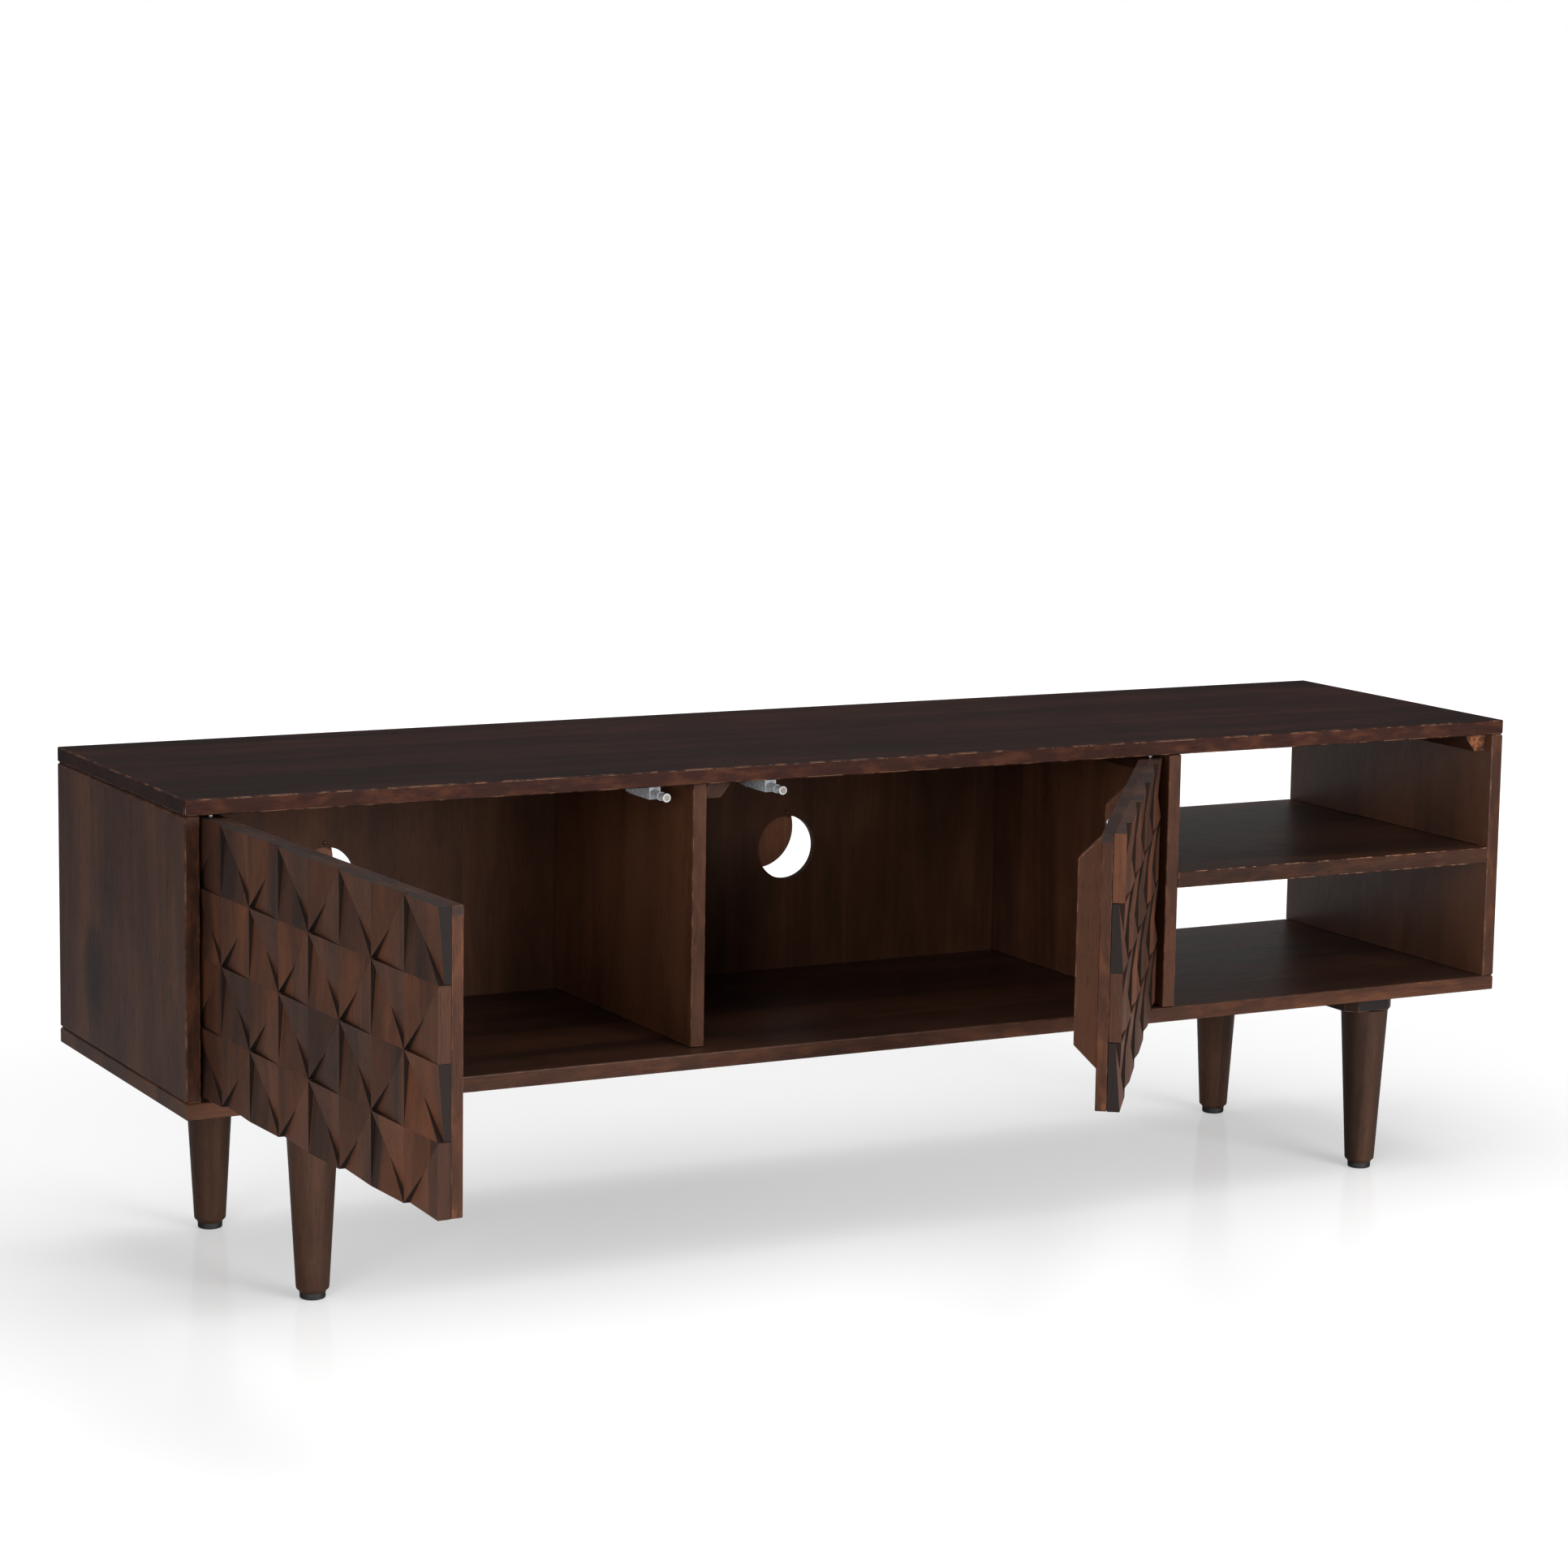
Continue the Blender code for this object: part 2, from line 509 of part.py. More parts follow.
def strip_mesh(row, left_x):
    """One carved row: the facets, a step between each two neighbours, sides and a back.

    Neighbours meet over a step WALL_HALF wide on each side of their common edge. Along
    a diagonal the two facets cross at half way, so its step is made in two halves.
    """
    tall = (DOOR_Z1 - DOOR_Z0) / ROWS
    top = DOOR_Z1 - (row - 1) * tall - (FIT / 2 if row > 1 else 0)
    foot = DOOR_Z1 - row * tall + (FIT / 2 if row < ROWS else 0)
    facets = carved_facets(row, top, foot)
    bm = bmesh.new()

    def on_rim(a, b):
        for i, limit in ((0, 0.0), (0, DOOR_WIDE), (1, top), (1, foot)):
            if abs(a[i] - limit) < 1e-7 and abs(b[i] - limit) < 1e-7:
                return True
        return False

    def key(corner):
        return (round(corner[0], 6), round(corner[1], 6))

    def inset(corners):
        """The corners, and the middle of the diagonal, moved in from every shared edge.

        Each comes with its place before the move, which its neighbours share.
        """
        lines = []
        halfway = {}
        middle = Vector((sum(c[0] for c in corners) / 3, sum(c[1] for c in corners) / 3))
        for i in range(3):
            a, b = corners[i], corners[(i + 1) % 3]
            along = Vector((b[0] - a[0], b[1] - a[1])).normalized()
            normal = Vector((-along.y, along.x))
            start = Vector((a[0], a[1]))
            if (middle - start).dot(normal) < 0:
                normal = -normal
            shift = 0.0 if on_rim(a, b) else WALL_HALF
            lines.append((start + normal * shift, along))
            if a[0] != b[0] and a[1] != b[1]:
                half = (start + Vector((b[0], b[1]))) / 2
                halfway[i] = (key(half), half + normal * shift)
        (ax, ay, az), (bx, by, bz), (cx, cy, cz) = corners
        det = (bx - ax) * (cy - ay) - (cx - ax) * (by - ay)

        def height(x, y):
            s = ((x - ax) * (cy - ay) - (cx - ax) * (y - ay)) / det
            t = ((bx - ax) * (y - ay) - (x - ax) * (by - ay)) / det
            return az + s * (bz - az) + t * (cz - az)

        found = []
        for i in range(3):
            (p, d), (q, e) = lines[i - 1], lines[i]
            step = (q - p).x * e.y - (q - p).y * e.x
            found.append((key(corners[i]), p + d * (step / (d.x * e.y - d.y * e.x))))
            if i in halfway:
                found.append(halfway[i])
        return [(place, (hit.x, hit.y, height(hit.x, hit.y))) for place, hit in found]

    made = []
    for corners in facets:
        places = inset(corners)
        verts = [bm.verts.new(point) for place, point in places]
        bm.faces.new(verts)
        made.append(([place for place, point in places], verts))

    # Steps between neighbours, and the small patches where steps meet.
    edges = {}
    for places, verts in made:
        for i in range(len(verts)):
            j = (i + 1) % len(verts)
            pair = tuple(sorted((places[i], places[j])))
            edges.setdefault(pair, []).append({places[i]: verts[i], places[j]: verts[j]})
    links = {}
    for pair, ends in edges.items():
        if len(ends) != 2:
            continue
        first, second = ends
        a, b = pair
        bm.faces.new((first[a], first[b], second[b], second[a]))
        for c in pair:
            links.setdefault(c, []).append((first[c], second[c]))
    for pairs in links.values():
        chain = list(pairs[0])
        left = list(pairs[1:])
        grown = True
        while left and grown:
            grown = False
            for pair in list(left):
                for a, b in (pair, pair[::-1]):
                    if a is chain[-1]:
                        chain.append(b)
                    elif a is chain[0]:
                        chain.insert(0, b)
                    else:
                        continue
                    left.remove(pair)
                    grown = True
                    break
        if chain[0] is chain[-1]:
            chain.pop()
        if len(chain) > 2:
            bm.faces.new(chain)
    bmesh.ops.triangulate(bm, faces=bm.faces)
    # Sides and back, from the rim of the carved surface.
    rim = [edge for edge in bm.edges if len(edge.link_faces) == 1]
    pushed = bmesh.ops.extrude_edge_only(bm, edges=rim)["geom"]
    base = [v for v in pushed if isinstance(v, bmesh.types.BMVert)]
    for vert in base:
        vert.co.z = 0.0
    bmesh.ops.edgenet_fill(bm, edges=[e for e in pushed if isinstance(e, bmesh.types.BMEdge)])
    bmesh.ops.remove_doubles(bm, verts=bm.verts, dist=1e-6)
    bmesh.ops.recalc_face_normals(bm, faces=bm.faces)
    back = -FACE + STRIP
    for vert in bm.verts:
        u, z, rise = vert.co
        vert.co = (left_x + u, back - rise, z)
    return bm


def chamfer_hinge_edge(bm, edge_x, sign):
    """Cuts the front corner of the hinge edge off at 45 degrees, so that it clears the case."""
    at = Vector((edge_x + sign * HINGE_CHAMFER, -FACE, 0))
    normal = Vector((-sign, -1, 0)).normalized()
    geom = list(bm.verts) + list(bm.edges) + list(bm.faces)
    cut_result = bmesh.ops.bisect_plane(
        bm, geom=geom, dist=1e-7, plane_co=at, plane_no=normal, clear_outer=True
    )
    rim = [e for e in cut_result["geom_cut"] if isinstance(e, bmesh.types.BMEdge)]
    bmesh.ops.edgenet_fill(bm, edges=rim)
    bmesh.ops.recalc_face_normals(bm, faces=bm.faces)


# Doors: four carved strips on a flat backing board, two battens and a strike plate
# behind it, and a steel pivot pin at the top and at the bottom.
for bay, pivot_at, opened, sign in (
    ("left", LEFT_PIVOT, LEFT_OPEN, 1),
    ("middle", MIDDLE_PIVOT, MIDDLE_OPEN, -1),
):
    pivot = empty(f"door_pivot_{bay}", pivot_at, (0, 0, opened))
    hinge_x = -sign * EDGE
    free_x = hinge_x + sign * DOOR_WIDE
    left_x = min(hinge_x, free_x)
    pins = (
        ("bottom", DOOR_Z0 + PIN_IN_DOOR, BOTTOM_TOP_Z - PIN_IN_PANEL, bottom_panel),
        ("top", DOOR_Z1 - PIN_IN_DOOR, UNDER_TOP_Z + PIN_IN_PANEL, top_panel),
    )
    strips = {}
    for row in range(1, ROWS + 1):
        bm = strip_mesh(row, left_x)
        chamfer_hinge_edge(bm, hinge_x, sign)
        strips[row] = finish(bm, f"door_{bay}_strip_{row}", CARVED, pivot)
    y0 = -FACE + STRIP + FIT
    y1 = y0 + DOOR_BOARD
    low = (min(hinge_x, free_x), y0, DOOR_Z0)
    high = (max(hinge_x, free_x), y1, DOOR_Z1)
    board = finish(box(low, high, 0.0007), f"door_{bay}_board", WOOD, pivot)
    for end, a, b, panel in pins:
        z0, z1 = sorted((a, b))
        pin = rod(PIN_RADIUS, z0, z1)
        bmesh.ops.bevel(
            pin,
            geom=[e for e in pin.edges if abs(e.verts[0].co.z - e.verts[1].co.z) < 1e-6],
            offset=0.0005,
            segments=1,
            affect="EDGES",
            profile=0.5,
        )
        finish(pin, f"door_{bay}_pin_{end}", STEEL, pivot, smooth=True)
        strip = strips[1 if end == "top" else ROWS]
        for target in (board, strip):
            bore = rod(PIN_RADIUS + FIT, z0 - FIT, z1 + FIT)
            cut(target, bore, f"cut_{target.name}_pin_{end}")
        bore = rod(PIN_RADIUS + FIT, z0 - FIT, z1 + FIT)
        cut(panel, moved(bore, pivot_at.x, pivot_at.y), f"cut_panel_{bay}_{end}")
    for where, at in (
        ("hinge", hinge_x + sign * BATTEN_FROM_HINGE),
        ("free", free_x - sign * (BATTEN_FROM_FREE[bay] + BATTEN_WIDE)),
    ):
        y2 = y1 + FIT
        z0, z1 = DOOR_Z0 + BATTEN_FOOT, DOOR_Z1 - BATTEN_HEAD
        outline = (
            (y2, z0),
            (y2 + BATTEN_STAND, z0 + BATTEN_STAND),
            (y2 + BATTEN_STAND, z1 - BATTEN_STAND),
            (y2, z1),
        )
        across = sorted((at, at + sign * BATTEN_WIDE))
        finish(prism(outline, *across, "x", 0.0007), f"door_{bay}_batten_{where}", WOOD, pivot)
    # The plate faces the latch plunger when the door is shut.
    strike_x = dict(LATCH_X)[bay] - pivot_at.x
    low = (strike_x - 0.0060, y1 + FIT, LATCH_Z - 0.0060)
    high = (strike_x + 0.0060, y1 + FIT + 0.0022, DOOR_Z1 - 0.0012)
    finish(box(low, high, 0.0006), f"door_{bay}_striker", STEEL, pivot)
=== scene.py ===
import json
import math

import bmesh
import bpy
from mathutils import Matrix, Vector


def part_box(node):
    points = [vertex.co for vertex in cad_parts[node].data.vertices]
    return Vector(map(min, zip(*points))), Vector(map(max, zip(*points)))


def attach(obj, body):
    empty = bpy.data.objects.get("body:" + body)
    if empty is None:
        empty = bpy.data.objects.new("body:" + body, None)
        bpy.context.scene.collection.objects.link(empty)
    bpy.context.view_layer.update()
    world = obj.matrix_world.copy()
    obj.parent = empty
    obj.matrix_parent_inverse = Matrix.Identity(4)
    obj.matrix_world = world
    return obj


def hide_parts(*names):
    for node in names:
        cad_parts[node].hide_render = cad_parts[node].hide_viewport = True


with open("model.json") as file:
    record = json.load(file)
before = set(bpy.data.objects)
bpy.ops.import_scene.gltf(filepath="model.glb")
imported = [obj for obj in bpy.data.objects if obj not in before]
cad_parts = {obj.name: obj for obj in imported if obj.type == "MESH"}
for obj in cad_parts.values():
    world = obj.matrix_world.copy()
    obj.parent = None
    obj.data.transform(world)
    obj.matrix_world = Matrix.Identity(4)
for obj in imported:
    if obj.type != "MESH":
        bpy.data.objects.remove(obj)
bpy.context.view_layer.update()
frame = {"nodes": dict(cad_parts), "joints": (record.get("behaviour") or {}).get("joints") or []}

front_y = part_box("top_panel")[0].y
back_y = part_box("top_panel")[1].y

# Camera: a long lens from the front left, a little above the top, looking slightly down.
# It is placed from the front face of the case, and shifted a little for the framing.
yaw = 0.5033
pitch = 0.1442
roll = 0.0173
camera_data = bpy.data.cameras.new("camera")
camera_data.sensor_width = 36
camera_data.lens = 91.02
camera_data.shift_x = -0.0390
camera_data.shift_y = -0.0114
camera = bpy.data.objects.new("camera", camera_data)
camera.location = (-2.068, front_y - 3.627, 1.1207)
aim = Matrix.Rotation(-yaw, 3, "Z") @ Matrix.Rotation(math.pi / 2 - pitch, 3, "X")
camera.rotation_euler = (aim @ Matrix.Rotation(roll, 3, "Z")).to_euler()
bpy.context.scene.collection.objects.link(camera)
bpy.context.scene.camera = camera
bpy.context.scene.view_settings.view_transform = "Standard"

# Studio: a pale floor with a faint gloss that runs into a white surround. For the camera
# alone it glows, until it is as white as the surround. The lacquer sees the surround as a
# dim grey one, dimmest behind, so that the soft boxes light it.
floor_mesh = bpy.data.meshes.new("studio_floor")
bm = bmesh.new()
bmesh.ops.create_grid(bm, x_segments=1, y_segments=1, size=30)
bm.to_mesh(floor_mesh)
bm.free()
floor = bpy.data.objects.new("studio_floor", floor_mesh)
under_glides = -0.0002
floor.location = (0, 0, under_glides)
bpy.context.scene.collection.objects.link(floor)
floor_paint = bpy.data.materials.new("floor_paint")
floor_paint.use_nodes = True
tree = floor_paint.node_tree
floor_shader = tree.nodes["Principled BSDF"]
floor_shader.inputs["Base Color"].default_value = (0.80, 0.80, 0.80, 1)
floor_shader.inputs["Roughness"].default_value = 0.15
floor_shader.inputs["Specular IOR Level"].default_value = 0.5
place = tree.nodes.new("ShaderNodeTexCoord")
reach = tree.nodes.new("ShaderNodeVectorMath")
reach.operation = "LENGTH"
glow = tree.nodes.new("ShaderNodeMapRange")
glow.interpolation_type = "SMOOTHSTEP"
glow.inputs["From Min"].default_value = 0.9
glow.inputs["From Max"].default_value = 3.2
glow.inputs["To Min"].default_value = 0.36
glow.inputs["To Max"].default_value = 1.0
seen = tree.nodes.new("ShaderNodeLightPath")
glow_seen = tree.nodes.new("ShaderNodeMath")
glow_seen.operation = "MULTIPLY"
tree.links.new(place.outputs["Object"], reach.inputs[0])
tree.links.new(reach.outputs["Value"], glow.inputs["Value"])
tree.links.new(glow.outputs["Result"], glow_seen.inputs[0])
tree.links.new(seen.outputs["Is Camera Ray"], glow_seen.inputs[1])
tree.links.new(glow_seen.outputs["Value"], floor_shader.inputs["Emission Strength"])
floor_shader.inputs["Emission Color"].default_value = (1, 1, 1, 1)
floor_mesh.materials.append(floor_paint)

world = bpy.data.worlds.new("studio")
world.use_nodes = True
bpy.context.scene.world = world
tree = world.node_tree
surround = tree.nodes["Background"]
surround.inputs["Color"].default_value = (1, 1, 1, 1)
direction = tree.nodes.new("ShaderNodeTexCoord")
split = tree.nodes.new("ShaderNodeSeparateXYZ")
dimmed = tree.nodes.new("ShaderNodeMapRange")
dimmed.interpolation_type = "SMOOTHSTEP"
dimmed.inputs["From Min"].default_value = -0.2
dimmed.inputs["From Max"].default_value = 0.5
dimmed.inputs["To Min"].default_value = 0.42
dimmed.inputs["To Max"].default_value = 0.20
ray = tree.nodes.new("ShaderNodeLightPath")
level = tree.nodes.new("ShaderNodeMapRange")
level.inputs["To Max"].default_value = 1.0
tree.links.new(direction.outputs["Generated"], split.inputs["Vector"])
tree.links.new(split.outputs["Y"], dimmed.inputs["Value"])
tree.links.new(dimmed.outputs["Result"], level.inputs["To Min"])
tree.links.new(ray.outputs["Is Camera Ray"], level.inputs["Value"])
tree.links.new(level.outputs["Result"], surround.inputs["Strength"])

# Three soft boxes: two low in front, which light the doors and the cupboards, and one above.
for name, at, target, size, power in (
    ("box_left", (-2.7, front_y - 2.6, 1.15), (0.0, front_y, 0.3), (1.8, 1.4), 62),
    ("box_front", (1.1, front_y - 3.3, 0.95), (0.0, front_y, 0.3), (1.8, 1.2), 100),
    ("box_top", (0.2, 0.3, 3.2), (0.1, 0.2, 0.0), (3.4, 2.4), 70),
):
    lamp = bpy.data.lights.new(name, "AREA")
    lamp.shape = "RECTANGLE"
    lamp.size, lamp.size_y = size
    lamp.energy = power
    lamp_object = bpy.data.objects.new(name, lamp)
    lamp_object.location = at
    lamp_object.rotation_euler = (Vector(target) - Vector(at)).to_track_quat("-Z", "Y").to_euler()
    bpy.context.scene.collection.objects.link(lamp_object)


# Case boards: solid acacia-like hardwood glued up from long staves, stained a dark
# espresso brown and finished with satin lacquer. Their arrises are sanded slightly round.
def wood_finish(name, dark, mid, light, stave, gloss, pore=0.5, shine=0.11, knot=None):
    """Stained wood on the mesh's own grain coordinates: x along the grain, y across, z through.

    Face attributes change it: "tint" its tone, which also carries painted light and shade by face direction;
    "end" sawn ends; the step mark steps painted dark, partly for the stain they hold and partly as painted
    shade; the edge mark arrises painted pale, partly for rubbed wear and partly as a painted highlight;
    "bare" places the stain missed; and "sheen" a higher gloss.
    """
    made = bpy.data.materials.new(name)
    made.use_nodes = True
    nodes = made.node_tree.nodes
    link = made.node_tree.links.new
    shader = nodes["Principled BSDF"]

    def node(kind, **values):
        new = nodes.new(kind)
        for key, value in values.items():
            if key in new.inputs:
                new.inputs[key].default_value = value
            else:
                setattr(new, key, value)
        return new

    def attribute(what):
        return node("ShaderNodeAttribute", attribute_name=what)

    def noise(scale, detail, rough=0.5, bend=0.0):
        mapping = node("ShaderNodeMapping", Scale=scale)
        link(grain.outputs["Vector"], mapping.inputs["Vector"])
        texture = node("ShaderNodeTexNoise", Scale=1.0, Detail=detail, Roughness=rough, Distortion=bend)
        link(mapping.outputs["Vector"], texture.inputs["Vector"])
        return texture.outputs["Fac"]

    def maths(kind, a, b=0.0):
        new = node("ShaderNodeMath", operation=kind)
        for socket, value in ((new.inputs[0], a), (new.inputs[1], b)):
            if isinstance(value, (int, float)):
                socket.default_value = value
            else:
                link(value, socket)
        return new.outputs["Value"]

    def mixed(factor, a, b):
        new = node("ShaderNodeMix", data_type="RGBA")
        for socket, value in ((new.inputs[0], factor), (new.inputs[6], a), (new.inputs[7], b)):
            if isinstance(value, float):
                socket.default_value = value
            elif isinstance(value, tuple):
                socket.default_value = (*value, 1)
            else:
                link(value, socket)
        return new.outputs[2]

    def stepped(value, low, high):
        new = node("ShaderNodeMapRange", interpolation_type="SMOOTHSTEP")
        new.inputs["From Min"].default_value = low
        new.inputs["From Max"].default_value = high
        link(value, new.inputs["Value"])
        return new.outputs["Result"]

    grain = attribute("grain")
    figure = noise((2.0, 15, 15), 5, 0.58, 0.9)
    fibres = noise((16, 380, 380), 3, 0.6)
    pores = noise((55, 1500, 1500), 1, 0.5)
    blotch = noise((10, 14, 14), 3, 0.55, 0.4)
    # Every stave has its own tone.
    split = node("ShaderNodeSeparateXYZ")
    link(grain.outputs["Vector"], split.inputs["Vector"])
    strip = maths("FLOOR", maths("DIVIDE", split.outputs["Y"], stave))
    own = node("ShaderNodeTexWhiteNoise", noise_dimensions="1D")
    link(strip, own.inputs["W"])
    tone = maths("MULTIPLY", figure, 0.62)
    tone = maths("ADD", tone, maths("MULTIPLY", fibres, 0.20))
    tone = maths("ADD", tone, maths("MULTIPLY", blotch, 0.26))
    tone = maths("ADD", tone, maths("MULTIPLY", maths("SUBTRACT", own.outputs["Value"], 0.5), 0.16))
    tone = maths("ADD", tone, attribute("tint").outputs["Fac"])
    ramp = node("ShaderNodeValToRGB")
    ramp.color_ramp.elements[0].position = 0.34
    ramp.color_ramp.elements[0].color = (*dark, 1)
    ramp.color_ramp.elements[1].position = 0.78
    ramp.color_ramp.elements[1].color = (*light, 1)
    ramp.color_ramp.elements.new(0.54).color = (*mid, 1)
    link(tone, ramp.inputs["Fac"])
    colour = ramp.outputs["Color"]
    in_pores = (0.006, 0.004, 0.003)
    on_ends = (0.016, 0.014, 0.014)
    stain_and_shade_colour = (0.007, 0.005, 0.004)
    wear_and_highlight_colour = (0.25, 0.125, 0.07)
    bare_wood = (0.22, 0.075, 0.028)
    burr = (0.008, 0.006, 0.006)
    pits = stepped(pores, 0.62, 0.72)
    colour = mixed(maths("MULTIPLY", pits, pore), colour, in_pores)
    # Sawn ends drink more stain. The steps between facets are painted dark, partly for the stain they hold
    # and partly as painted shade.
    cut_end = maths("MULTIPLY", attribute("end").outputs["Fac"], 0.72)
    colour = mixed(cut_end, colour, on_ends)
    colour = mixed(maths("MULTIPLY", attribute("stain_and_shade").outputs["Fac"], 0.9), colour, stain_and_shade_colour)
    # The arrises are painted paler, partly as rubbed wear and partly as a painted highlight along the edge.
    wear_and_highlight_mask = stepped(noise((60, 60, 60), 3, 0.6), 0.45, 0.68)
    wear_and_highlight_mask = maths("MULTIPLY", attribute("wear_and_highlight").outputs["Fac"], wear_and_highlight_mask)
    colour = mixed(maths("MULTIPLY", wear_and_highlight_mask, 0.55), colour, wear_and_highlight_colour)
    bare = stepped(noise((26, 70, 70), 4, 0.6), 0.44, 0.70)
    bare = maths("MULTIPLY", attribute("bare").outputs["Fac"], bare)
    colour = mixed(bare, colour, bare_wood)
    if knot:
        # A darker, burr-like patch at a known place on the piece.
        middle, reach = knot
        place = node("ShaderNodeTexCoord")
        centred = node("ShaderNodeMapping")
        centred.inputs["Scale"].default_value = [1 / size for size in reach]
        centred.inputs["Location"].default_value = [-at / size for at, size in zip(middle, reach)]
        ball = node("ShaderNodeTexGradient", gradient_type="SPHERICAL")
        link(place.outputs["Object"], centred.inputs["Vector"])
        link(centred.outputs["Vector"], ball.inputs["Vector"])
        patch = stepped(maths("MULTIPLY", ball.outputs["Fac"], maths("ADD", blotch, 0.35)), 0.02, 0.55)
        colour = mixed(maths("MULTIPLY", patch, 0.8), colour, burr)
    link(colour, shader.inputs["Base Color"])
    rough = maths("ADD", maths("MULTIPLY", fibres, 0.22), gloss)
    rough = maths("SUBTRACT", rough, maths("MULTIPLY", attribute("wear_and_highlight").outputs["Fac"], 0.08))
    rough = maths("ADD", rough, maths("MULTIPLY", pits, 0.15))
    rough = maths("ADD", rough, maths("MULTIPLY", attribute("stain_and_shade").outputs["Fac"], 0.35))
    sheen = attribute("sheen").outputs["Fac"]
    link(maths("SUBTRACT", rough, maths("MULTIPLY", sheen, 0.10)), shader.inputs["Roughness"])
    link(maths("ADD", maths("MULTIPLY", sheen, 0.35), shine), shader.inputs["Specular IOR Level"])
    height = maths("SUBTRACT", maths("MULTIPLY", fibres, 0.5), maths("MULTIPLY", pits, 0.5))
    bump = node("ShaderNodeBump", Strength=0.45, Distance=0.0003)
    link(height, bump.inputs["Height"])
    link(bump.outputs["Normal"], shader.inputs["Normal"])
    return made


def read_node(name):
    """The CAD node's mesh with its triangles joined back into flat faces."""
    bm = bmesh.new()
    bm.from_mesh(frame["nodes"][name].data)
    bmesh.ops.remove_doubles(bm, verts=bm.verts, dist=1e-5)
    flat_within = math.radians(0.4)
    bmesh.ops.dissolve_limit(
        bm, angle_limit=flat_within, verts=bm.verts, edges=bm.edges, delimit={"NORMAL"}
    )
    return bm


def round_arrises(bm, radius, shortest=0.004, bluntest=20, wear_and_highlight_level=1.0):
    """Rounds the outer edges, and marks the new faces with a level by which they are painted paler, partly
    for rubbed wear and partly as a painted highlight.

    Edges that are shorter than the shortest or blunter than the bluntest, in degrees, are left.
    """
    marks = bm.faces.layers.float.new("wear_and_highlight")
    sharp = [
        edge
        for edge in bm.edges
        if len(edge.link_faces) == 2
        and edge.is_convex
        and edge.calc_length() > shortest
        and edge.calc_face_angle(0) > math.radians(bluntest)
    ]
    made = bmesh.ops.bevel(
        bm, geom=sharp, offset=radius, segments=2, profile=0.5, affect="EDGES",
        clamp_overlap=True, material=-1
    )
    for face in made["faces"]:
        face[marks] = wear_and_highlight_level


def score_across(bm, height):
    """Divides the faces at a level, so that each side of the line can have its own paint: its own stain on
    the door boards, and painted light on the cleats.
    """
    everything = list(bm.verts) + list(bm.edges) + list(bm.faces)
    bmesh.ops.bisect_plane(bm, geom=everything, plane_co=(0, 0, height), plane_no=(0, 0, 1))


def square_to(face, axis):
    """Whether a face looks straight along an axis, one way or the other."""
    return abs(face.normal.dot(axis)) > 0.8


def grain_axes(along, across):
    """Rows that turn a point into (along the grain, across it, through the board)."""
    along = Vector(along).normalized()
    across = Vector(across).normalized()
    return Matrix((along, across, along.cross(across)))


seeds = {}


def write_grain(bm, name, axes, tint=0.0):
    """Grain coordinates for every vertex, and a tone and an end-grain mark for every face."""
    # Each piece is cut from its own place in the wood, so no two have the same figure.
    seed = seeds.setdefault(name, len(seeds) + 1)
    shift = Vector((seed * 1.37, seed * 0.731, seed * 0.413))
    grain = bm.verts.layers.float_vector.new("grain")
    for vert in bm.verts:
        vert[grain] = axes @ vert.co + shift
    ends = bm.faces.layers.float.new("end")
    tones = bm.faces.layers.float.new("tint")
    own = 0.03 * math.sin(seed * 2.3)
    for face in bm.faces:
        face[ends] = 1.0 if square_to(face, axes[0]) else 0.0
        face[tones] = (tint(face) if callable(tint) else tint) + own


def stand_in(bm, name, finish, body):
    """The finished piece, which takes the place of the CAD node and rides on its body."""
    mesh = bpy.data.meshes.new(f"{name}_finished")
    bm.to_mesh(mesh)
    bm.free()
    mesh.shade_smooth()
    mesh.materials.append(finish)
    piece = bpy.data.objects.new(f"{name}_finished", mesh)
    bpy.context.scene.collection.objects.link(piece)
    smoothed = piece.modifiers.new("flat_faces", "WEIGHTED_NORMAL")
    smoothed.weight = 100
    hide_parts(name)
    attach(piece, body)


lengthwise = grain_axes((1, 0, 0), (0, 1, 0))
upright_side = grain_axes((0, 0, 1), (0, 1, 0))
upright_back = grain_axes((0, 0, 1), (1, 0, 0))
espresso = (
    (0.018, 0.0074, 0.0046),
    (0.046, 0.0176, 0.0100),
    (0.100, 0.039, 0.019),
)
case_wood = wood_finish("case_wood", *espresso, stave=0.085, gloss=0.38)
side_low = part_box("side_panel_left")[0]
knot_at = (side_low.x, back_y - 0.115, side_low.z + 0.075)
knot_reach = (0.05, 0.045, 0.075)
side_wood = wood_finish("side_wood", *espresso, stave=0.085, gloss=0.38, knot=(knot_at, knot_reach))
top_wood = wood_finish(
    "top_wood", (0.0075, 0.0036, 0.0034), (0.0145, 0.0062, 0.0052), (0.030, 0.0105, 0.0075),
    stave=0.072, gloss=0.50, shine=0.07
)


def faces_front(face):
    return face.normal.y < -0.7


def faces_left(face):
    return face.normal.x < -0.7


def faces_up(face):
    return face.normal.z > 0.7


# These tones paint light and shade onto each board by the way its faces look: front, left and upper faces are
# made lighter or darker, as painted light and painted shade.
def top_painted_light(face):
    if faces_front(face):
        return 0.30
    return 0.12 if faces_left(face) else 0.0


def bottom_painted_light(face):
    if faces_left(face):
        return 0.16
    return 0.05 if faces_up(face) else 0.0


def centre_painted_light(face):
    if faces_front(face):
        return 0.10
    return 0.24 if faces_left(face) else -0.02


def left_painted_shade(face):
    return -0.10 if faces_front(face) else 0.0


def right_painted_light(face):
    if faces_front(face):
        return -0.03
    return 0.18 if faces_left(face) else 0.04


